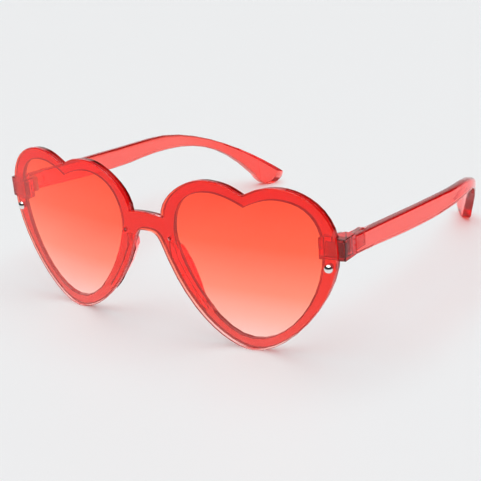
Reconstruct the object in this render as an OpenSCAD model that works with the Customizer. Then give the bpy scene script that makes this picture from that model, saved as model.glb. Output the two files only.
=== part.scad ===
// Heart shaped sunglasses.
// A one piece tinted shield lens lies on a moulded front frame with two heart rims.
// Two dome headed rivets hold it, and two small moulded pins place it at the nose.
// The temples fold on three barrel hinges whose leaves are moulded into the plastic.
// The front looks along -Y, the temples run along +Y, and the wearer's left is +X.
// The glasses stand on the low points of both hearts and on both temple tips.

/* [Lens plate] */
// Height of the hearts
heart_h = 58.9; // [55:0.1:63]
// From the middle plane to the outermost point of a heart
heart_reach = 70.6; // [68:0.1:74]
// Height of that outermost point
side_z = 38.4; // [36:0.1:41]
// From the middle plane to the notch between the lobes
notch_x = 38.8; // [36:0.1:42]
// Depth of the notch below the tops of the lobes
notch_drop = 3.7; // [2:0.1:6]
// From the middle plane to the low point of a heart
tip_x = 39.2; // [36:0.1:43]
// Half the length of the bridge's top edge
bridge_half = 6.8; // [5.5:0.1:9]
// Height of the bridge's top edge
bridge_z = 43.6; // [42:0.1:46]
// How far the middle of that edge rises above its ends
bridge_rise = 0.5; // [0:0.1:1.5]
// Height of the nose arch
arch_z = 37.5; // [35:0.1:40]
// Half the width of the nose arch at its feet
foot_half = 8.1; // [7:0.1:9]
// Height of the feet of the nose arch
foot_z = 28.4; // [26:0.1:30]
// Thickness of the lens plate
lens_t = 1.4; // [1:0.1:2]
// Radius to which the front is wrapped round the face
wrap_r = 300; // [240:5:500]

/* [Front frame] */
// Thickness of the rim behind the lens
rim_t = 1.7; // [1.4:0.1:2.6]
// Width of the rim above the openings
rim_top = 4.4; // [3:0.1:6]
// Width of the rim under the notch
rim_notch = 4.4; // [3:0.1:6]
// Width of the rim at the nose
rim_nose = 4.7; // [3.8:0.1:6.5]
// Width of the rim at the outer side
rim_side = 5.4; // [5:0.1:6.5]
// Width of the rim at the low point
rim_low = 4.3; // [3:0.1:6]
// How far the rim stays inside the edge of the lens
rim_inset = 0.4; // [0.2:0.1:0.8]

/* [Nose pads] */
// How far a pad stands out behind the rim
pad_depth = 4.6; // [3:0.1:6]
// Thickness of a pad
pad_w = 2.2; // [1.8:0.1:3]
// Height at which a pad begins
pad_low = 9; // [8:0.5:15]
// Height at which a pad stands out most
pad_crest = 26; // [22:0.5:30]
// Height at which a pad ends
pad_high = 34.5; // [32:0.5:35]
// Angle by which the pads open towards the face
pad_splay = 19; // [8:1:30]

/* [Lugs] */
// How far a lug's front lies behind the front of the lens
lug_set = 0.7; // [0:0.1:1]
// How far the outer face of a lug and its temple stands out past the hearts
lug_out = 2.4; // [1.5:0.1:4]
// Width of a lug, from its outer to its inner face
lug_w = 9; // [8.5:0.1:10]
// Height of a lug's underside, and of the temple's where it begins
lug_low = 36; // [35:0.1:37]
// Height of a lug
lug_h = 7.4; // [6.8:0.1:9]
// Depth of a lug at its outer face, from the line of the lens's front
lug_depth = 7.2; // [6.9:0.1:9]
// Width of that back face, which the open temple meets
butt_w = 3.6; // [3:0.1:4]
// How far the inner part of a lug stays in front of its back face
shoulder = 3.4; // [3:0.1:3.8]

/* [Temples] */
// Distance of the temple's end behind the lug
temple_reach = 130.5; // [120:0.5:140]
// Thickness of a temple
temple_t = 3.1; // [2.4:0.1:3.5]
// Height of a temple where it begins
temple_h = 6.6; // [6.2:0.1:6.8]
// Length of the part that runs straight back, seen from above
straight_len = 64.8; // [50:0.1:80]
// Radius of the inward bend behind it
bend_r = 98; // [80:1:160]
// Distance behind the lug at which the top edge turns down
top_turn = 72; // [65:0.5:85]
// Height of the top edge there
top_turn_z = 35; // [33:0.1:36]
// Distance behind the lug at which the under edge turns down
under_turn = 58; // [50:1:70]
// Height of the under edge there
under_turn_z = 28.6; // [27:0.1:30]
// Width of the rounded tip, seen from the side
tip_w = 9.6; // [8:0.1:12]
// Height up to which the tip is rounded
tip_round = 5.5; // [4:0.1:7]
// Length of the thicker block in which the hinge sits
block_len = 7.8; // [7:0.1:9]
// Room between the block and the edges of the temple
block_edge = 0.5; // [0.4:0.1:0.6]

/* [Hinges] */
// From the outer face of a lug to the hinge's axis
hinge_in = 5.6; // [5.3:0.1:5.8]
// Radius of a barrel
barrel_r = 1.5; // [1.2:0.1:1.6]
// Height of one of the three barrels
barrel_h = 1.6; // [1.4:0.1:1.7]
// Thickness of the leaves
leaf_t = 0.9; // [0.6:0.1:1.1]
// Radius of the screw's shank
screw_r = 0.6; // [0.4:0.05:0.7]
// Radius of the screw's head
head_r = 1.2; // [1:0.1:1.4]
// Height of the screw's head
head_h = 0.6; // [0.4:0.1:0.8]
// Depth of plastic in front of the front leaf
leaf_cover = 5.2; // [4.8:0.1:5.3]
// Plastic between a leaf's end and the lug's side
leaf_side = 1.3; // [1:0.1:2]

/* [Rivets and pins] */
// From the outermost point of a heart to a rivet, measured across
rivet_in = 3; // [2.4:0.1:3.4]
// Height of the rivets
rivet_z = 33.3; // [31:0.1:34]
// Radius of a rivet's dome
dome_r = 1.6; // [1.2:0.1:2]
// Height of a rivet's dome
dome_h = 1.2; // [0.7:0.1:1.3]
// Radius of a rivet's shank
shank_r = 0.7; // [0.5:0.05:0.9]
// Radius of a rivet's closed end
tail_r = 1.1; // [1:0.1:1.5]
// Height of a rivet's closed end
tail_h = 0.4; // [0.3:0.1:0.6]
// From the middle plane to a locating pin
pin_x = 9.8; // [9:0.1:10.5]
// Height of the locating pins
pin_z = 36.2; // [35:0.1:37]
// Radius of a locating pin
pin_r = 0.6; // [0.4:0.05:0.8]

/* [Fits] */
// Gap between the lens and the frame
lens_gap = 0.1; // [0.05:0.01:0.15]
// Gap between a lug and the open temple
seam_gap = 0.15; // [0.1:0.01:0.3]
// Gap round a moulded in leaf
mould_gap = 0.03; // [0.02:0.01:0.05]
// Radial running clearance of the hinge screw
turn_gap = 0.05; // [0.03:0.01:0.08]
// Gap between two barrels
barrel_gap = 0.1; // [0.05:0.01:0.15]
// Radial clearance of a rivet and a pin in their holes
hole_gap = 0.05; // [0.03:0.01:0.1]
// Room round the barrels
swing_gap = 0.2; // [0.15:0.01:0.3]

/* [Hidden] */

// Overrun of every cut past the face that it leaves
cut = 1;
// Points on each curved stretch of an outline
steps = 10;
// Sides of a small round part, and of the wide wrap and bend
round_fn = 48;
wide_fn = 720;

rim_colour = [0.93, 0.24, 0.22];
lens_colour = [1, 0.42, 0.34];
temple_colour = [0.97, 0.42, 0.4];
steel_colour = [0.78, 0.78, 0.8];

// Places across
lug_reach = heart_reach + lug_out;
lug_in = lug_reach - lug_w;
hinge_x = lug_reach - hinge_in;
rivet_x = heart_reach - rivet_in;

// Levels and planes
seam_back = wrap_r - sqrt(wrap_r * wrap_r - lug_reach * lug_reach) + lug_depth;
overall_depth = seam_back + temple_reach;
crown_y = -overall_depth / 2;
axis_y = crown_y + wrap_r;
seam_y = crown_y + seam_back;
rim_front = lens_t + lens_gap;
rim_back = rim_front + rim_t;

// Anchors of the lens's edge, from the top of the bridge round to the nose arch
lobe_in_share = 0.42;
lobe_out_share = 0.4;
edge_anchors = [
    [0, bridge_z + bridge_rise],
    [bridge_half, bridge_z],
    [notch_x - lobe_in_share * (notch_x - bridge_half), heart_h],
    [notch_x, heart_h - notch_drop],
    [notch_x + lobe_out_share * (heart_reach - notch_x), heart_h],
    [heart_reach, side_z],
    [tip_x, 0],
    [foot_half, foot_z],
    [0, arch_z]
];
// Handles of each stretch, as shares of the way to its next anchor
edge_shares = [
    [[0.45, 0], [0.85, 0.7]],
    [[0.01, 0.54], [0.64, 1]],
    [[0.56, 0], [0.75, 0.52]],
    [[0.265, 0.35], [0.47, 1]],
    [[0.395, 0], [1, 0.27]],
    [[0, 0.45], [0.6, 1]],
    [[0.23, 0], [0.69, 0.235]],
    [[0.42, 0.9], [0.42, 1]]
];

// Anchors of a rim's opening, from under the notch by way of the nose side
hole_in_share = 0.455;
hole_out_share = 0.435;
hole_nose_x = bridge_half + rim_nose;
hole_side_x = heart_reach - rim_side;
hole_anchors = [
    [notch_x, heart_h - notch_drop - rim_notch],
    [notch_x - hole_in_share * (notch_x - hole_nose_x), heart_h - rim_top],
    [hole_nose_x, side_z],
    [tip_x, rim_low],
    [hole_side_x, side_z],
    [notch_x + hole_out_share * (hole_side_x - notch_x), heart_h - rim_top],
    [notch_x, heart_h - notch_drop - rim_notch]
];
hole_shares = [
    [[0.21, 0.41], [0.62, 1]],
    [[0.61, 0], [1, 0.37]],
    [[0, 0.25], [0.46, 1]],
    [[0.5, 0], [1, 0.51]],
    [[0, 0.66], [0.34, 1]],
    [[0.37, 0], [0.76, 0.57]]
];

// Side view of a temple, measured from the lug's back face
rest_share = 0.5;
tip_end = [temple_reach, tip_round];
tip_rest = [temple_reach - rest_share * tip_w, 0];
tip_heel = [temple_reach - tip_w, tip_round];
temple_anchors = [
    [seam_gap, lug_low + temple_h],
    [top_turn, top_turn_z],
    tip_end,
    tip_rest,
    tip_heel,
    [under_turn, under_turn_z],
    [seam_gap, lug_low]
];
temple_shares = [
    [[0.33, 0.33], [0.67, 0.72]],
    [[0.5, 0.055], [0.86, 0.69]],
    [[0, 0.57], [0.4, 1]],
    [[0.44, 0], [0.76, 0.56]],
    [[0.25, 1], [0.52, 0.95]],
    [[0.33, 0.17], [0.67, 0.61]]
];

// Side view of a nose pad, from its low end over the crest to its high end
pad_bite_share = 0.3;
pad_bite = pad_bite_share * rim_t;
pad_y = crown_y + rim_back - pad_bite;
pad_anchors = [
    [pad_y, pad_low],
    [pad_y + pad_bite + pad_depth, pad_crest],
    [pad_y, pad_high]
];
pad_shares = [
    [[0.55, 0.25], [1, 0.6]],
    [[0, 0.5], [0.3, 0.9]]
];
// Where a pad begins and ends on the edge: the stretches before it, and the share of the next
pad_skip_share = 0.3;
pad_stop_share = 0.5;
nose_stretch = 6;

// Hinge
hinge_y = seam_y + seam_gap / 2;
hinge_z = lug_low + temple_h / 2;
hinge_h = 3 * barrel_h + 2 * barrel_gap;
hinge_low = hinge_z - hinge_h / 2;
barrel_step = barrel_h + barrel_gap;
relief_r = barrel_r + swing_gap;
// Inner face of the temple's block, and the leaf that lies under it
block_in = hinge_x + relief_r;
leaf_x = block_in + block_edge;
leaf_back = seam_y + block_len - block_edge / 2;
plate_y = seam_y - leaf_cover;
// Holes in that leaf, through which the plastic holds it
peg_r_share = 0.55;
peg_r = peg_r_share * leaf_t;
peg_in = 2 * peg_r;
// Slot of the screw's head
slot_share = 0.25;
slot_w = slot_share * head_r;

// Point at the share s of the way from a to b, across and up
function part_way(a, b, s) = [a.x + s.x * (b.x - a.x), a.y + s.y * (b.y - a.y)];

// Point at t of a curve with four control points
function bezier(t, a, b, c, d) =
    pow(1 - t, 3) * a + 3 * pow(1 - t, 2) * t * b + 3 * (1 - t) * t * t * c + pow(t, 3) * d;

// Points of one stretch without its last one
function stretch(a, b, s) =
    [for (i = [0 : steps - 1]) bezier(i / steps, a, part_way(a, b, s[0]), part_way(a, b, s[1]), b)];

// Points of several stretches in a row
function stretches(anchors, shares) =
    [for (i = [0 : len(shares) - 1]) each stretch(anchors[i], anchors[i + 1], shares[i])];

// The same points on the other side of the middle plane, in reverse and without the first
function mirrored(points) =
    [for (i = [len(points) - 1 : -1 : 1]) [-points[i].x, points[i].y]];

function unit(v) = v / norm(v);

// Moves each corner of a clockwise outline inwards by d, along its mitre
function inset(points, d) =
    [for (i = [0 : len(points) - 1])
        let (
            n = len(points),
            a = unit(points[i] - points[(i + n - 1) % n]),
            b = unit(points[(i + 1) % n] - points[i])
        )
        points[i] + d * [a.y + b.y, -a.x - b.x] / (1 + a * b)];

edge_half = stretches(edge_anchors, edge_shares);
edge = concat(edge_half, [[0, arch_z]], mirrored(edge_half));
hole = stretches(hole_anchors, hole_shares);

// Distance of a surface of the wrapped front behind its foremost line, at the place x
function wrap_drop(x, back) = wrap_r - sqrt(pow(wrap_r - back, 2) - x * x);

// Solid with an outline drawn in front view, from y0 to y1
module front_prism(points, y0, y1) {
    translate([0, y1, 0])
        rotate([90, 0, 0])
            linear_extrude(y1 - y0)
                polygon(points);
}

// Solid with an outline drawn in side view, from x0 to x1
module side_prism(points, x0, x1) {
    translate([x0, 0, 0])
        rotate([90, 0, 90])
            linear_extrude(x1 - x0)
                polygon(points);
}

// Upright cylinder of the wrap, whose surface lies a distance behind the lens's front
module wrap_solid(back, overrun) {
    translate([0, axis_y, -overrun])
        cylinder(r = wrap_r - back, h = heart_h + 2 * overrun, $fn = wide_fn);
}

// Wrapped plate between two distances behind the lens's front
module wrap_plate(points, front, back) {
    deep = wrap_drop(lug_reach, back);
    difference() {
        intersection() {
            front_prism(points, crown_y - cut, crown_y + deep + cut);
            wrap_solid(front, cut);
        }
        wrap_solid(back, 2 * cut);
    }
}

// Places something square to the wrapped front at x, z
module on_wrap(x, z) {
    translate([0, axis_y, z])
        rotate([0, 0, asin(x / wrap_r)])
            translate([0, -wrap_r, 0])
                rotate([90, 0, 0])
                    children();
}

module both_sides() {
    children();
    mirror([1, 0, 0])
        children();
}

// Hole or shank across the wrapped front, between two depths behind the lens's front
module cross_pin(x, z, r, front, back) {
    on_wrap(x, z)
        translate([0, 0, -back])
            cylinder(r = r, h = back - front, $fn = round_fn);
}

module shield_lens() {
    color(lens_colour, 0.6)
        difference() {
            wrap_plate(edge, 0, lens_t);
            both_sides() {
                cross_pin(rivet_x, rivet_z, shank_r + hole_gap, -cut, rim_back + cut);
                cross_pin(pin_x, pin_z, pin_r + hole_gap, -cut, rim_back + cut);
            }
        }
}

// Lug block, cut to the wrap in front and hollowed for the barrels
module lug() {
    plan = [
        [lug_in, crown_y],
        [lug_reach, crown_y],
        [lug_reach, seam_y],
        [lug_reach - butt_w, seam_y],
        [hinge_x - leaf_t / 2, seam_y - shoulder],
        [lug_in, seam_y - shoulder]
    ];
    difference() {
        intersection() {
            translate([0, 0, lug_low])
                linear_extrude(lug_h)
                    polygon(plan);
            wrap_solid(lug_set, cut);
        }
        translate([hinge_x, hinge_y, lug_low - cut])
            cylinder(r = relief_r, h = lug_h + 2 * cut, $fn = round_fn);
    }
}

// Moulded nose pad: a ridge along the rim's nose edge that opens towards the face
module nose_pad() {
    rim_edge = inset(edge, rim_inset);
    first = floor((nose_stretch + pad_skip_share) * steps);
    last = floor((nose_stretch + 1 + pad_stop_share) * steps);
    inner = [for (i = [first : last]) [max(rim_edge[i].x, foot_half), rim_edge[i].y]];
    outer = [for (i = [last : -1 : first]) [max(rim_edge[i].x, foot_half) + pad_w, rim_edge[i].y]];
    squeezed = [for (p = concat(inner, outer)) [foot_half + (p.x - foot_half) * cos(pad_splay), p.y]];
    shape = concat(stretches(pad_anchors, pad_shares), [pad_anchors[2]]);
    intersection() {
        translate([foot_half, pad_y, 0])
            rotate([0, 0, -pad_splay])
                translate([-foot_half, 0, 0])
                    front_prism(squeezed, -lug_reach, lug_reach);
        side_prism(shape, 0, lug_reach);
    }
}

module front_frame() {
    color(rim_colour)
        difference() {
            union() {
                wrap_plate(inset(edge, rim_inset), rim_front, rim_back);
                both_sides() {
                    lug();
                    nose_pad();
                }
            }
            both_sides() {
                difference() {
                    front_prism(hole, crown_y - cut, crown_y + wrap_drop(lug_reach, rim_back) + cut);
                    lug();
                }
                cross_pin(rivet_x, rivet_z, shank_r + hole_gap, -cut, rim_back + cut);
                front_leaf(mould_gap);
            }
            wrap_plate(inset(edge, -lens_gap), -cut, rim_front);
        }
    color(rim_colour)
        both_sides()
            cross_pin(pin_x, pin_z, pin_r, lens_gap, rim_back - lens_gap);
}

// Barrels at the given places in the row of three, counted from below
module barrels(numbers) {
    for (i = numbers)
        translate([hinge_x, hinge_y, hinge_low + i * barrel_step])
            cylinder(r = barrel_r, h = barrel_h, $fn = round_fn);
}

module screw_bore() {
    translate([hinge_x, hinge_y, lug_low - cut])
        cylinder(r = screw_r + turn_gap, h = lug_h + 2 * cut, $fn = round_fn);
}

// Leaf that is moulded into the lug, with the middle barrel
module front_leaf(gap) {
    plate = [lug_reach - lug_in - 2 * leaf_side, leaf_t, hinge_h];
    arm = [leaf_t, hinge_y - plate_y - screw_r - turn_gap, barrel_h];
    difference() {
        union() {
            translate([lug_in + leaf_side - gap, plate_y - gap, hinge_low - gap])
                cube(plate + 2 * [gap, gap, gap]);
            translate([hinge_x - leaf_t / 2 - gap, plate_y, hinge_low + barrel_step - gap])
                cube(arm + 2 * [gap, 0, gap]);
            if (gap == 0)
                barrels([1]);
        }
        if (gap == 0)
            screw_bore();
    }
}

// Leaf that is moulded into the temple, with the two outer barrels
module temple_leaf(gap) {
    leaf_y = hinge_y + barrel_r - leaf_t;
    plate = [leaf_t, leaf_back - leaf_y, hinge_h];
    arm = [leaf_x - hinge_x + leaf_t / 2, leaf_t, barrel_h];
    difference() {
        union() {
            translate([leaf_x - gap, leaf_y - gap, hinge_low - gap])
                cube(plate + 2 * [gap, gap, gap]);
            for (i = [0, 2])
                translate([hinge_x, leaf_y - gap, hinge_low + i * barrel_step - gap])
                    cube(arm + 2 * [0, gap, gap]);
            if (gap == 0)
                barrels([0, 2]);
        }
        for (side = [-1, 1])
            translate([leaf_x - cut, leaf_back - peg_in, hinge_z + side * hinge_h / 4])
                rotate([0, 90, 0])
                    cylinder(r = peg_r - gap, h = leaf_t + 2 * cut, $fn = round_fn);
        if (gap == 0)
            screw_bore();
    }
}

module hinge_screw() {
    top = hinge_low + hinge_h;
    color(steel_colour)
        difference() {
            union() {
                translate([hinge_x, hinge_y, hinge_low - head_h / 2])
                    cylinder(r = screw_r, h = hinge_h + head_h, $fn = round_fn);
                translate([hinge_x, hinge_y, top])
                    cylinder(r = head_r, h = head_h, $fn = round_fn);
            }
            translate([hinge_x - slot_w / 2, hinge_y - head_r - cut, top + head_h / 2])
                cube([slot_w, 2 * (head_r + cut), head_h]);
        }
}

module lens_rivet() {
    ball_r = (dome_r * dome_r + dome_h * dome_h) / (2 * dome_h);
    color(steel_colour)
        union() {
            on_wrap(rivet_x, rivet_z)
                intersection() {
                    translate([0, 0, dome_h - ball_r])
                        sphere(r = ball_r, $fn = round_fn);
                    cylinder(r = 2 * dome_r, h = 2 * dome_h, $fn = round_fn);
                }
            cross_pin(rivet_x, rivet_z, shank_r, -dome_h / 2, rim_back + tail_h / 2);
            cross_pin(rivet_x, rivet_z, tail_r, rim_back + hole_gap, rim_back + hole_gap + tail_h);
        }
}

// Plan view of a temple's outer or inner face, as a solid from the middle plane out to that face
module plan_solid(face_x, overrun) {
    height = lug_low + temple_h + 2 * overrun;
    bend_y = seam_y + straight_len;
    translate([0, seam_y - overrun, -overrun])
        cube([face_x, straight_len + overrun, height]);
    translate([lug_reach - bend_r, bend_y, -overrun])
        cylinder(r = bend_r - lug_reach + face_x, h = height, $fn = wide_fn);
}

// Temple: its side view, kept between the outer and the inner face of the plan view
module temple() {
    profile = [for (p = stretches(temple_anchors, temple_shares)) [p.x + seam_y, p.y]];
    end_point = temple_anchors[len(temple_anchors) - 1];
    outline = concat(profile, [[end_point.x + seam_y, end_point.y]]);
    color(temple_colour)
        difference() {
            union() {
                difference() {
                    intersection() {
                        side_prism(outline, 0, lug_reach + cut);
                        plan_solid(lug_reach, cut);
                    }
                    plan_solid(lug_reach - temple_t, 2 * cut);
                }
                translate([block_in, seam_y + seam_gap, lug_low + block_edge])
                    cube([lug_reach - temple_t / 2 - block_in, block_len, temple_h - 2 * block_edge]);
            }
            temple_leaf(mould_gap);
        }
}

module left_leaf_front() {
    color(steel_colour)
        front_leaf(0);
}

module left_leaf_temple() {
    color(steel_colour)
        temple_leaf(0);
}

module lens_rivet_left() {
    lens_rivet();
}

module lens_rivet_right() {
    mirror([1, 0, 0])
        lens_rivet();
}

module front_hinge_leaf_left() {
    left_leaf_front();
}

module front_hinge_leaf_right() {
    mirror([1, 0, 0])
        left_leaf_front();
}

module temple_hinge_leaf_left() {
    left_leaf_temple();
}

module temple_hinge_leaf_right() {
    mirror([1, 0, 0])
        left_leaf_temple();
}

module hinge_screw_left() {
    hinge_screw();
}

module hinge_screw_right() {
    mirror([1, 0, 0])
        hinge_screw();
}

module temple_left() {
    temple();
}

module temple_right() {
    mirror([1, 0, 0])
        temple();
}

front_frame();
shield_lens();
lens_rivet_left();
lens_rivet_right();
front_hinge_leaf_left();
front_hinge_leaf_right();
temple_hinge_leaf_left();
temple_hinge_leaf_right();
hinge_screw_left();
hinge_screw_right();
temple_left();
temple_right();
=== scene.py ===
import math

import bpy
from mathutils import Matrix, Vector


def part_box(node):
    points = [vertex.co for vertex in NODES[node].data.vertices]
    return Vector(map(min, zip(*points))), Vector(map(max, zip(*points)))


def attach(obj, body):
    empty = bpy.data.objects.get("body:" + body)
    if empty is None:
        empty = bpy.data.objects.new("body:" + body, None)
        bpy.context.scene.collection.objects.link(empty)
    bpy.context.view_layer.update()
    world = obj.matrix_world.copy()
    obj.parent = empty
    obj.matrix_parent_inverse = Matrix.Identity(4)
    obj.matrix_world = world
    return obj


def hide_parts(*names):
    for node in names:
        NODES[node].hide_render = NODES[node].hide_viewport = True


# Heart shaped sunglasses of clear red plastic on a pale studio table.
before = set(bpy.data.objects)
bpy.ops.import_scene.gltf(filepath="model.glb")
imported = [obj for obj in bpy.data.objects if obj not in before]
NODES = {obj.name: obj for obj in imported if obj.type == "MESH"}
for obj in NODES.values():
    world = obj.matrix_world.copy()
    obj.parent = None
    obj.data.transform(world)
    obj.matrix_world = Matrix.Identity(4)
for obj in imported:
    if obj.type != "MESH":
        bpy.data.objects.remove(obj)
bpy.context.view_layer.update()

MM = 0.001

# Camera: place, turn in degrees, lens and sensor in millimetres, and the nearest that it sees
CAMERA_PLACE = (258.20 * MM, -362.65 * MM, 189.43 * MM)
CAMERA_TURN = (67.0467, 4.1504, 35.3505)
CAMERA_LENS, CAMERA_SENSOR = 91.434, 36
CAMERA_SHIFT_Y = 0.02807
CAMERA_NEAR = 10 * MM

# Table: width in metres, how far it lies below the glasses, and its finish
TABLE_WIDTH, TABLE_DROP = 60, 0.05 * MM
TABLE_COLOUR, TABLE_ROUGHNESS = (0.84, 0.85, 0.86), 0.55

# Light of the room, by the direction it comes from: levels, and where each part fades in
SOFT_LIGHT, SOFT_LIGHT_EDGE = 2.66, (0.7, 0.9)
SWEEP, SWEEP_TOP, SWEEP_FRONT, SWEEP_SIDE = 0.9, (0.52, 0.42), (0.1, 0.4), (0.35, 0.05)
# Level of the dark room round all this, and colour of the pale wall that the camera itself sees
DARK_ROOM, FAR_WALL = 0.03, (0.8, 0.81, 0.82)

# Fine marks and moulding ripple: scale and detail of each, where a mark begins and is full, and
# the ripple's height and how strongly it shows on plastic and on metal
MARKS, MARK_RANGE = (900, 4), (0.45, 0.8)
RIPPLE, RIPPLE_HEIGHT = (45, 1), 0.02 * MM
PLASTIC_RIPPLE, METAL_RIPPLE = 0.02, 0.1

# Clear plastic: refraction, how squarely a face looks along its way where the broad face mask
# begins and is full, the axes that make up a way, and green and blue of the painted glow, an
# emission standing in for light gathered inside the plastic, as a share of its red
REFRACTION = 1.49
BROAD_RANGE = (0.75, 0.96)
FRONT_WAY, SIDE_WAY = (0, 1, 0), (1, 1, 0)
GLOW_REST = 0.01
# How much lighter a rolled edge gets over the ripple
EDGE_LIGHTER = 1.6
# Tint of the lens: (millimetres above the table, colour)
LENS_STOPS = ((4, (1, 0.8, 0.73)), (12, (1, 0.57, 0.45)), (22, (1, 0.32, 0.2)),
              (38, (1, 0.145, 0.06)), (56, (1, 0.08, 0.025)))

# In degrees: least angle of an edge that is rolled over, and greatest between faces made one
SHARP, FLAT = 33, 0.2
# Distance at which points are merged, and at which a place counts as the same
MERGE, TOUCH = 0.001 * MM, 0.01 * MM
# How strongly the larger faces lead the shading, where 50 is evenly
LARGE_FACES = 80
# How squarely a face looks along its true normal to be broad, and to share a broad one's normal
BROAD, SHARED = 0.997, 0.3

# Edge rolls of the lens, the rim and a temple, and of its root, whose hinge slot has thin walls
LENS_EDGE, RIM_EDGE, TEMPLE_EDGE, ROOT_EDGE = 0.3 * MM, 0.28 * MM, 1.2 * MM, 0.4 * MM
EDGE_STEPS, TEMPLE_STEPS = 3, 5

# Upright axis of the wrapped front, seam between lug and temple, and centre of a temple's bend
WRAP_AXIS_Y = 226.641 * MM
SEAM_Y = -57.1414 * MM
BEND_X, BEND_Y = (73 - 98) * MM, SEAM_Y + 64.8 * MM
# Where a temple's root ends, where painted shade (its red shadow on the table, seen through it)
# deepens the tip, and where its roll falls to the tip's share
ROOT_END = SEAM_Y + 9 * MM
TIP_SHADE_RANGE = (30 * MM, 58 * MM)
TIP_ROLL_RANGE, TIP_ROLL = (38 * MM, 60 * MM), 0.28

# Reach from the wrap's axis: of the rim's back, of what lies behind it, and where the look of that
# fades in
RIM_BACK = (300 - 3.2) * MM
BEHIND_RIM = RIM_BACK - 0.1 * MM
BACK_RANGE = (RIM_BACK - 0.05 * MM, RIM_BACK - 0.6 * MM)
# How far out the nose pads reach, where their painted glow fades in, and how high they begin and
# end
PAD_SIDE = 26 * MM
PAD_RANGE = (PAD_SIDE + 4 * MM, PAD_SIDE)
PAD_LOW, PAD_HIGH = 9.5 * MM, 34 * MM
# Sloping lines that part a pad's two ridges, and the rim's opening from its outline: foot and slope
PAD_RIDGE, PAD_ROOT = (26.6 * MM, 0.53), (30.65 * MM, 0.665)
# Shares of the rim's edge roll: everywhere, added low down by the nose, and at a pad's inner ridge
RIM_ROLL, NOSE_ROLL, RIDGE_ROLL = 0.8, 0.7, 0.9
NOSE_ROLL_RANGE, LOW_ROLL_RANGE = (42 * MM, 34 * MM), (34 * MM, 26 * MM)


def deselect():
    bpy.ops.object.select_all(action="DESELECT")


def add_camera():
    turn = [math.radians(a) for a in CAMERA_TURN]
    bpy.ops.object.camera_add(location=CAMERA_PLACE, rotation=turn)
    camera = bpy.context.object
    camera.name = "studio_camera"
    camera.data.lens = CAMERA_LENS
    camera.data.sensor_width = CAMERA_SENSOR
    camera.data.shift_y = CAMERA_SHIFT_Y
    camera.data.clip_start = CAMERA_NEAR
    bpy.context.scene.camera = camera


def own_node(tree, kind):
    """The one node of a kind that a new tree comes with."""
    return next(n for n in tree.nodes if n.type == kind)


def new_material(name):
    material = bpy.data.materials.new(name)
    material.use_nodes = True
    return material, own_node(material.node_tree, "BSDF_PRINCIPLED")


def node(tree, kind, **values):
    made = tree.nodes.new(kind)
    for key, value in values.items():
        setattr(made, key, value)
    return made


def place_along(tree, axis, kind="Object"):
    """How far a point of a piece, or a direction of the world, lies along an axis."""
    place = node(tree, "ShaderNodeTexCoord")
    split = node(tree, "ShaderNodeSeparateXYZ")
    tree.links.new(place.outputs[kind], split.inputs["Vector"])
    return split.outputs[axis]


def smooth_range(tree, source, low, high):
    """Nought below low and one above high, or the other way round when low is the larger."""
    span = node(tree, "ShaderNodeMapRange", interpolation_type="SMOOTHSTEP")
    span.inputs["From Min"].default_value = min(low, high)
    span.inputs["From Max"].default_value = max(low, high)
    if low > high:
        span.inputs["To Min"].default_value = 1
        span.inputs["To Max"].default_value = 0
    tree.links.new(source, span.inputs["Value"])
    return span.outputs["Result"]


def times(tree, a, b):
    product = node(tree, "ShaderNodeMath", operation="MULTIPLY")
    tree.links.new(a, product.inputs[0])
    tree.links.new(b, product.inputs[1])
    return product.outputs["Value"]


def blend(tree, mask, a, b):
    """Mixes two colours, each a plain one or a socket."""
    mix = node(tree, "ShaderNodeMix", data_type="RGBA")
    tree.links.new(mask, mix.inputs["Factor"])
    for end, colour in (("A", a), ("B", b)):
        if isinstance(colour, tuple):
            mix.inputs[end].default_value = (*colour, 1)
        else:
            tree.links.new(colour, mix.inputs[end])
    return mix.outputs["Result"]


def noise(tree, place, scale, detail):
    made = node(tree, "ShaderNodeTexNoise")
    made.inputs["Scale"].default_value = scale
    made.inputs["Detail"].default_value = detail
    tree.links.new(place, made.inputs["Vector"])
    return made.outputs["Fac"]


def micro_surface_group():
    """Fine handling marks and a faint moulding ripple, as a roughness and a height."""
    group = bpy.data.node_groups.new("micro_surface", "ShaderNodeTree")
    put = group.interface.new_socket
    put("Base Roughness", in_out="INPUT", socket_type="NodeSocketFloat")
    put("Mark Strength", in_out="INPUT", socket_type="NodeSocketFloat")
    put("Roughness", in_out="OUTPUT", socket_type="NodeSocketFloat")
    put("Height", in_out="OUTPUT", socket_type="NodeSocketFloat")
    start = node(group, "NodeGroupInput")
    end = node(group, "NodeGroupOutput")
    place = node(group, "ShaderNodeTexCoord").outputs["Object"]
    spread = node(group, "ShaderNodeMapRange")
    for name, value in zip(("From Min", "From Max"), MARK_RANGE):
        spread.inputs[name].default_value = value
    total = node(group, "ShaderNodeMath", operation="ADD")
    link = group.links.new
    link(noise(group, place, *MARKS), spread.inputs["Value"])
    link(times(group, spread.outputs["Result"], start.outputs["Mark Strength"]), total.inputs[0])
    link(start.outputs["Base Roughness"], total.inputs[1])
    link(total.outputs["Value"], end.inputs["Roughness"])
    link(noise(group, place, *RIPPLE), end.inputs["Height"])
    return group


def broad_face_group():
    """One on the faces that look along the axes of a chosen way, nought on edges and end faces."""
    group = bpy.data.node_groups.new("broad_face", "ShaderNodeTree")
    put = group.interface.new_socket
    put("Way", in_out="INPUT", socket_type="NodeSocketVector")
    put("Mask", in_out="OUTPUT", socket_type="NodeSocketFloat")
    start = node(group, "NodeGroupInput")
    end = node(group, "NodeGroupOutput")
    place = node(group, "ShaderNodeTexCoord")
    part = node(group, "ShaderNodeVectorMath", operation="MULTIPLY")
    length = node(group, "ShaderNodeVectorMath", operation="LENGTH")
    link = group.links.new
    link(place.outputs["Normal"], part.inputs[0])
    link(start.outputs["Way"], part.inputs[1])
    link(part.outputs["Vector"], length.inputs[0])
    link(smooth_range(group, length.outputs["Value"], *BROAD_RANGE), end.inputs["Mask"])
    return group


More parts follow.
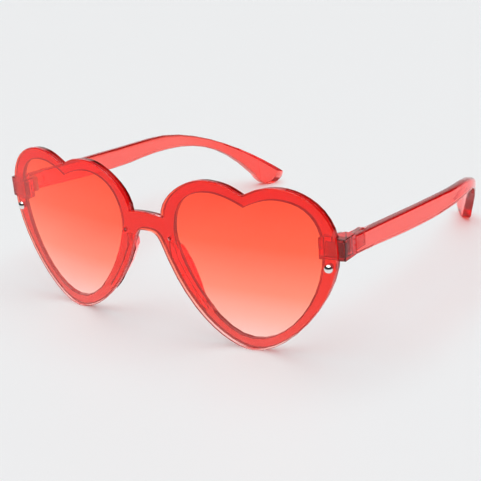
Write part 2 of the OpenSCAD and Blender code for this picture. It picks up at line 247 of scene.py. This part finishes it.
def upright_ramp(tree, stops):
    """Colour over the height of the glasses; stops are (millimetres above the table, colour)."""
    span = node(tree, "ShaderNodeMapRange")
    low, high = stops[0][0] * MM, stops[-1][0] * MM
    span.inputs["From Min"].default_value = low
    span.inputs["From Max"].default_value = high
    ramp = node(tree, "ShaderNodeValToRGB")
    while len(ramp.color_ramp.elements) < len(stops):
        ramp.color_ramp.elements.new(0.5)
    for element, (height, colour) in zip(ramp.color_ramp.elements, stops):
        element.position = (height * MM - low) / (high - low)
        element.color = (*colour, 1)
    tree.links.new(place_along(tree, "Z"), span.inputs["Value"])
    tree.links.new(span.outputs["Result"], ramp.inputs["Fac"])
    return ramp.outputs["Color"]


def behind_rim(tree):
    """One on all that stands behind the rim, which are the nose pads and the lugs."""
    place = node(tree, "ShaderNodeTexCoord")
    turned = node(tree, "ShaderNodeVectorMath", operation="SUBTRACT")
    turned.inputs[1].default_value = (0, WRAP_AXIS_Y, 0)
    flat = node(tree, "ShaderNodeVectorMath", operation="MULTIPLY")
    flat.inputs[1].default_value = (1, 1, 0)
    reach = node(tree, "ShaderNodeVectorMath", operation="LENGTH")
    tree.links.new(place.outputs["Object"], turned.inputs[0])
    tree.links.new(turned.outputs["Vector"], flat.inputs[0])
    tree.links.new(flat.outputs["Vector"], reach.inputs[0])
    return smooth_range(tree, reach.outputs["Value"], *BACK_RANGE)


def near_middle(tree, far, near):
    """One near the middle of the glasses, nought out at the sides."""
    aside = node(tree, "ShaderNodeMath", operation="ABSOLUTE")
    tree.links.new(place_along(tree, "X"), aside.inputs[0])
    return smooth_range(tree, aside.outputs["Value"], far, near)


def towards_tip(tree):
    """Nought along a temple's shaft and one at its tip."""
    return smooth_range(tree, place_along(tree, "Y"), *TIP_SHADE_RANGE)


def add_micro_surface(tree, shader, roughness, marks, ripple_strength):
    """Gives a shader fine marks, lets its normal follow the ripple and puts the ripple out."""
    fine = node(tree, "ShaderNodeGroup", node_tree=MICRO_SURFACE)
    fine.inputs["Base Roughness"].default_value = roughness
    fine.inputs["Mark Strength"].default_value = marks
    tree.links.new(fine.outputs["Roughness"], shader.inputs["Roughness"])
    if ripple_strength:
        bump = node(tree, "ShaderNodeBump")
        bump.inputs["Strength"].default_value = ripple_strength
        bump.inputs["Distance"].default_value = RIPPLE_HEIGHT
        tree.links.new(fine.outputs["Height"], bump.inputs["Height"])
        tree.links.new(bump.outputs["Normal"], shader.inputs["Normal"])
    return fine.outputs["Height"]


def show_plastic(tree, shader, output, film_tint):
    """Shows the plastic to the eye, and a tinted film to the light and shadow of the table."""
    film = node(tree, "ShaderNodeBsdfTransparent")
    film.inputs["Color"].default_value = (*film_tint, 1)
    ray = node(tree, "ShaderNodeLightPath")
    shown = shader.outputs["BSDF"]
    for kind in ("Is Diffuse Ray", "Is Shadow Ray"):
        mix = node(tree, "ShaderNodeMixShader")
        tree.links.new(ray.outputs[kind], mix.inputs["Fac"])
        tree.links.new(shown, mix.inputs[1])
        tree.links.new(film.outputs["BSDF"], mix.inputs[2])
        shown = mix.outputs["Shader"]
    tree.links.new(shown, output.inputs["Surface"])


def clear_plastic(name, painted_wall_tint, glow, way, film_tint, roughness, marks, tint=None,
                  tip_shade_tint=None, stops=None, depth=None, back_tint=None, back_glows=None):
    """Clear coloured plastic: tinted glass, its walls tinted apart as painted edge shade, its broad
    faces given a faint painted glow.
    """
    material, shader = new_material(name)
    material.cycles.emission_sampling = "NONE"
    tree = material.node_tree
    output = own_node(tree, "OUTPUT_MATERIAL")
    shader.inputs["Transmission Weight"].default_value = 1
    shader.inputs["IOR"].default_value = REFRACTION
    shader.inputs["Emission Strength"].default_value = 1
    broad = node(tree, "ShaderNodeGroup", node_tree=BROAD_FACE)
    broad.inputs["Way"].default_value = way
    mask = broad.outputs["Mask"]
    face = upright_ramp(tree, stops) if stops else tint
    # Painted shade: the colour deepens towards the tip, standing in for the temple's red shadow on
    # the table seen through it.
    if tip_shade_tint:
        face = blend(tree, towards_tip(tree), tint, tip_shade_tint)
    # Painted shade: the walls take their own tint, standing in for the lines that light reflected
    # inside the plastic draws along the edges: dark on the rim and temples, pale on the lens.
    colour = blend(tree, mask, painted_wall_tint, face)
    # Painted glow: an emission on the broad faces stands in for light gathered inside the coloured
    # plastic.
    shine = blend(tree, mask, (0, 0, 0), (glow, GLOW_REST * glow, GLOW_REST * glow))
    if back_tint:
        behind = behind_rim(tree)
        lug_glow, pad_glow = back_glows
        colour = blend(tree, behind, colour, back_tint)
        # Painted glow of the lugs and nose pads, standing in for light gathered in the plastic
        # behind the rim.
        back_glow = blend(tree, near_middle(tree, *PAD_RANGE), lug_glow, pad_glow)
        shine = blend(tree, behind, shine, back_glow)
    tree.links.new(colour, shader.inputs["Base Color"])
    tree.links.new(shine, shader.inputs["Emission Color"])
    add_micro_surface(tree, shader, roughness, marks, PLASTIC_RIPPLE)
    show_plastic(tree, shader, output, film_tint)
    if depth:
        deep_colour, density = depth
        absorb = node(tree, "ShaderNodeVolumeAbsorption")
        absorb.inputs["Color"].default_value = (*deep_colour, 1)
        absorb.inputs["Density"].default_value = density
        tree.links.new(absorb.outputs["Volume"], output.inputs["Volume"])
    return material


def rolled_edge(name, colour, roughness, marks):
    """The thin rolled edges of clear plastic, an opaque deep red that is painted shade for the dark
    lines along them.
    """
    material, shader = new_material(name)
    tree = material.node_tree
    ripple = add_micro_surface(tree, shader, roughness, marks, None)
    lighter = tuple(EDGE_LIGHTER * c for c in colour)
    tree.links.new(blend(tree, ripple, colour, lighter), shader.inputs["Base Color"])
    return material


def bright_metal(name, colour, roughness, marks):
    material, shader = new_material(name)
    shader.inputs["Metallic"].default_value = 1
    shader.inputs["Base Color"].default_value = (*colour, 1)
    add_micro_surface(material.node_tree, shader, roughness, marks, METAL_RIPPLE)
    return material


def wrap_normal(place):
    """Outward normal of the wrapped front at a place, for the side that looks forwards."""
    return Vector((place.x, place.y - WRAP_AXIS_Y, 0)).normalized()


def temple_normal(place):
    """Outward normal of a temple's outer face at a place."""
    side = 1 if place.x > 0 else -1
    if place.y < BEND_Y:
        return Vector((side, 0, 0))
    return Vector((place.x - side * BEND_X, place.y - BEND_Y, 0)).normalized()


def fade(value, start, end):
    """How far a value has come from start to end, nought before and one after."""
    return min(max((value - start) / (end - start), 0), 1)


def even_roll(a, b):
    """Every edge has the full roll."""
    return 1


def temple_roll(a, b):
    """Share of the full roll for a temple's edge from a to b, less at its root and its tip."""
    if min(a.y, b.y) < ROOT_END - TOUCH:
        return ROOT_EDGE / TEMPLE_EDGE
    return 1 - (1 - TIP_ROLL) * fade((a.y + b.y) / 2, *TIP_ROLL_RANGE)


def beyond(line, a, b):
    """Whether both places lie further out than a sloping line, given as its foot and its slope."""
    foot, slope = line
    return all(abs(p.x) > foot - slope * p.z for p in (a, b))


def rim_roll(a, b):
    """Share of the full roll for a rim's edge from a to b.

    It is more low down by the nose, and none where a soft pad runs out of the rim.
    """
    behind = all(math.hypot(p.x, p.y - WRAP_AXIS_Y) < BEHIND_RIM for p in (a, b))
    middle = all(abs(p.x) < PAD_SIDE for p in (a, b))
    height = (a.z + b.z) / 2
    if middle and behind:
        return RIDGE_ROLL * beyond(PAD_RIDGE, a, b)
    if middle and PAD_LOW < height < PAD_HIGH and beyond(PAD_ROOT, a, b):
        return 0
    inward = fade(abs(a.x + b.x) / 2, *NOSE_ROLL_RANGE)
    return RIM_ROLL + NOSE_ROLL * inward * fade(height, *LOW_ROLL_RANGE)


def copied_form(name, node_name, materials, cut_y):
    """A piece with a node's form, its loose triangles merged and its flat faces made one.

    It is cut across at cut_y, where its edge roll changes.
    """
    deselect()
    piece = bpy.data.objects.new(name, NODES[node_name].data.copy())
    piece.data.name = name
    bpy.context.scene.collection.objects.link(piece)
    piece.select_set(True)
    bpy.context.view_layer.objects.active = piece
    piece.data.materials.clear()
    for material in materials:
        piece.data.materials.append(material)
    if piece.data.has_custom_normals:
        bpy.ops.mesh.customdata_custom_splitnormals_clear()
    bpy.ops.object.mode_set(mode="EDIT")
    bpy.ops.mesh.select_mode(type="VERT")
    bpy.ops.mesh.select_all(action="SELECT")
    bpy.ops.mesh.remove_doubles(threshold=MERGE)
    bpy.ops.mesh.dissolve_limited(angle_limit=math.radians(FLAT))
    if cut_y:
        bpy.ops.mesh.select_all(action="SELECT")
        bpy.ops.mesh.bisect(plane_co=(0, cut_y, 0), plane_no=(0, 1, 0))
    bpy.ops.object.mode_set(mode="OBJECT")
    return piece


def roll_edges(piece, edge, steps, roll_share):
    """Rolls the sharp edges over, each by its share of the full roll."""
    bpy.ops.object.mode_set(mode="EDIT")
    bpy.ops.mesh.select_mode(type="EDGE")
    bpy.ops.mesh.select_all(action="DESELECT")
    bpy.ops.mesh.edges_select_sharp(sharpness=math.radians(SHARP))
    bpy.ops.object.mode_set(mode="OBJECT")
    mesh = piece.data
    shares = mesh.attributes.new("bevel_weight_edge", "FLOAT", "EDGE")
    for line in mesh.edges:
        a, b = (mesh.vertices[i].co for i in line.vertices)
        shares.data[line.index].value = roll_share(a, b) if line.select else 0
    rolled = piece.modifiers.new("rolled_edges", "BEVEL")
    rolled.limit_method = "WEIGHT"
    rolled.width = edge
    rolled.segments = steps
    rolled.use_clamp_overlap = False
    rolled.material = 1 if len(mesh.materials) > 1 else -1
    bpy.ops.object.modifier_apply(modifier=rolled.name)
    bpy.ops.object.mode_set(mode="EDIT")
    bpy.ops.mesh.select_all(action="SELECT")
    bpy.ops.mesh.quads_convert_to_tris(quad_method="BEAUTY", ngon_method="BEAUTY")
    bpy.ops.mesh.select_all(action="DESELECT")
    bpy.ops.object.mode_set(mode="OBJECT")


def smooth_faces(piece, node_name, face_normal):
    """Keeps the piece within its node's box and makes its broad faces truly smooth."""
    bpy.ops.object.shade_smooth_by_angle(angle=math.radians(SHARP))
    weighted = piece.modifiers.new("even_faces", "WEIGHTED_NORMAL")
    weighted.keep_sharp = True
    weighted.weight = LARGE_FACES
    bpy.ops.object.modifier_apply(modifier=weighted.name)
    mesh = piece.data
    low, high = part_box(node_name)
    for point in mesh.vertices:
        point.co = [min(max(c, a), b) for c, a, b in zip(point.co, low, high)]
    normals = [Vector(n.vector) for n in mesh.corner_normals]
    sides = {}
    for face in mesh.polygons:
        facing = face_normal(face.center).dot(face.normal)
        if abs(facing) > BROAD:
            for corner in face.vertices:
                sides[corner] = 1 if facing > 0 else -1
    for face in mesh.polygons:
        for corner, loop in zip(face.vertices, face.loop_indices):
            if corner in sides:
                true_normal = sides[corner] * face_normal(mesh.vertices[corner].co)
                if true_normal.dot(face.normal) > SHARED:
                    normals[loop] = true_normal
    mesh.normals_split_custom_set([tuple(n) for n in normals])


def moulded_piece(name, node_name, body, materials, edge, face_normal, steps=EDGE_STEPS,
                  roll_share=even_roll, cut_y=None):
    """Shows a node by a copy of its form with rolled edges; a second material goes on the rolls."""
    piece = copied_form(name, node_name, materials, cut_y)
    roll_edges(piece, edge, steps, roll_share)
    smooth_faces(piece, node_name, face_normal)
    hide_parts(node_name)
    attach(piece, body)


def finish_node(name, material):
    """Gives a CAD node its material."""
    piece = NODES[name]
    piece.data.materials.clear()
    piece.data.materials.append(material)


def add_table():
    bpy.ops.mesh.primitive_plane_add(size=TABLE_WIDTH, location=(0, 0, -TABLE_DROP))
    floor = bpy.context.object
    floor.name = "studio_table"
    material, shader = new_material("studio_table")
    shader.inputs["Base Color"].default_value = (*TABLE_COLOUR, 1)
    shader.inputs["Roughness"].default_value = TABLE_ROUGHNESS
    floor.data.materials.append(material)


def add_world():
    """A soft light overhead, a white sweep low behind the glasses, and a dark room round them."""
    world = bpy.data.worlds.new("studio")
    bpy.context.scene.world = world
    world.use_nodes = True
    tree = world.node_tree
    back = own_node(tree, "BACKGROUND")
    back.inputs["Strength"].default_value = 1
    across, along, up = (place_along(tree, axis, "Generated") for axis in "XYZ")
    overhead = smooth_range(tree, up, *SOFT_LIGHT_EDGE)
    sweep = times(tree, smooth_range(tree, up, *SWEEP_TOP), smooth_range(tree, along, *SWEEP_FRONT))
    sweep = times(tree, sweep, smooth_range(tree, across, *SWEEP_SIDE))
    room = blend(tree, sweep, 3 * (DARK_ROOM,), 3 * (SWEEP,))
    lit = blend(tree, overhead, room, 3 * (SOFT_LIGHT,))
    seen = node(tree, "ShaderNodeLightPath")
    shown = blend(tree, seen.outputs["Is Camera Ray"], lit, FAR_WALL)
    tree.links.new(shown, back.inputs["Color"])


deselect()
add_camera()
add_table()
add_world()
bpy.context.scene.view_settings.view_transform = "Standard"

MICRO_SURFACE = micro_surface_group()
BROAD_FACE = broad_face_group()
lens_plastic = clear_plastic(
    "clear_red_lens", painted_wall_tint=(0.95, 0.72, 0.72), glow=0.12, way=FRONT_WAY,
    film_tint=(1, 0.955, 0.945), roughness=0.01, marks=0.02, stops=LENS_STOPS)
rim_plastic = clear_plastic(
    "clear_red_rim", painted_wall_tint=(0.66, 0.16, 0.14), glow=0.03, way=FRONT_WAY,
    film_tint=(1, 0.76, 0.74), roughness=0.02, marks=0.02, tint=(0.78, 0.66, 0.62),
    depth=((0.94, 0.06, 0.04), 1400), back_tint=(0.95, 0.72, 0.7),
    # The back glows are painted glow of the lugs and of the nose pads.
    back_glows=((0.2, 0.015, 0.018), (0.35, 0.007, 0.007)))
temple_plastic = clear_plastic(
    "clear_red_temple", painted_wall_tint=(0.5, 0.3, 0.28), glow=0.14, way=SIDE_WAY,
    film_tint=(1, 0.86, 0.84), roughness=0.02, marks=0.02, tint=(0.98, 0.95, 0.95),
    tip_shade_tint=(0.96, 0.52, 0.5), depth=((0.94, 0.1, 0), 560))
# Painted shade: the rim's rolled edges are an opaque dark red standing in for the dark lines that
# light reflected inside clear plastic draws along its edges.
rim_shade_edge = rolled_edge("painted_shade_rim_edge", colour=(0.09, 0.003, 0.003), roughness=0.12, marks=0.05)
rivet_metal = bright_metal("rivet_metal", colour=(0.86, 0.86, 0.85), roughness=0.12, marks=0.1)
hinge_metal = bright_metal("hinge_metal", colour=(0.62, 0.61, 0.61), roughness=0.42, marks=0.15)

moulded_piece("lens_plate", "shield_lens", "front", [lens_plastic],
              LENS_EDGE, wrap_normal)
moulded_piece("front_moulding", "front_frame", "front", [rim_plastic, rim_shade_edge],
              RIM_EDGE, wrap_normal, roll_share=rim_roll)
for side in ("left", "right"):
    moulded_piece(f"temple_arm_{side}", f"temple_{side}", f"{side}_temple",
                  [temple_plastic], TEMPLE_EDGE, temple_normal, steps=TEMPLE_STEPS,
                  roll_share=temple_roll, cut_y=ROOT_END)
    finish_node(f"lens_rivet_{side}", rivet_metal)
    finish_node(f"front_hinge_leaf_{side}", hinge_metal)
    finish_node(f"temple_hinge_leaf_{side}", hinge_metal)
    finish_node(f"hinge_screw_{side}", hinge_metal)
